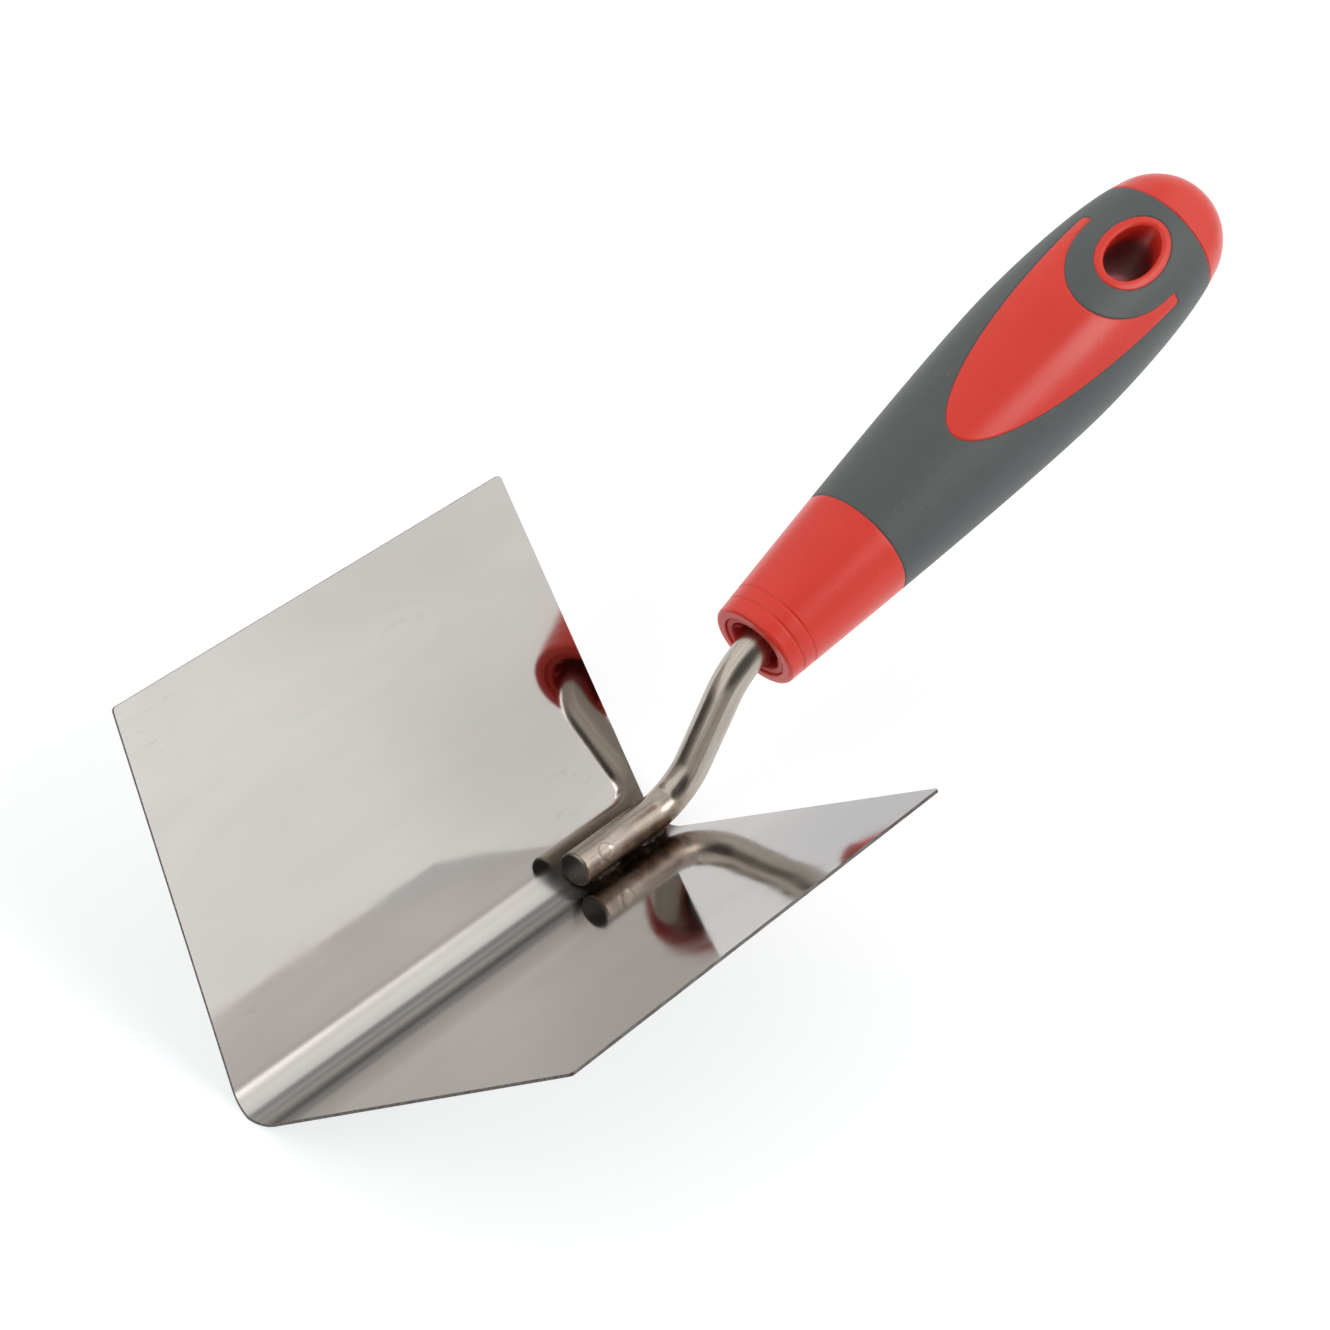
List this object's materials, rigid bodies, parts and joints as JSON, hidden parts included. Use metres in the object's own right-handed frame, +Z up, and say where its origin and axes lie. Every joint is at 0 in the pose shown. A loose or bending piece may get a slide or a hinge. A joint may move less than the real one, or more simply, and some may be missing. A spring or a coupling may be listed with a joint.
{
  "type": "inside corner trowel",
  "caption": "Folded steel blade with two wings at a right angle, a bent tang welded in its valley and a round two-colour handle with a hang hole.",
  "frame": {"origin": "the middle of the blade's ridge, on the outside of the bend", "axes": "+X forward along the ridge, +Z up, halving the angle between the wings, +Y to the left as seen from the handle"},
  "size_m": [0.2567, 0.1072, 0.0913],
  "materials": {
    "polished_sheet": "polished stainless steel, near mirror, with faint smudges",
    "tang_steel": "bright drawn rod with heat tint by the welds",
    "weld_metal": "as welded, oxidised",
    "core_plastic": "satin",
    "red_plastic": "semi-gloss moulded",
    "grey_rubber": "soft satin"
  },
  "bodies": {
    "root": {"blade": "polished_sheet", "tang": "tang_steel", "weld_front": "weld_metal", "weld_rear": "weld_metal", "handle_core": "core_plastic", "handle_shell": "red_plastic", "soft_grip": "grey_rubber"}
  },
  "joints": []
}
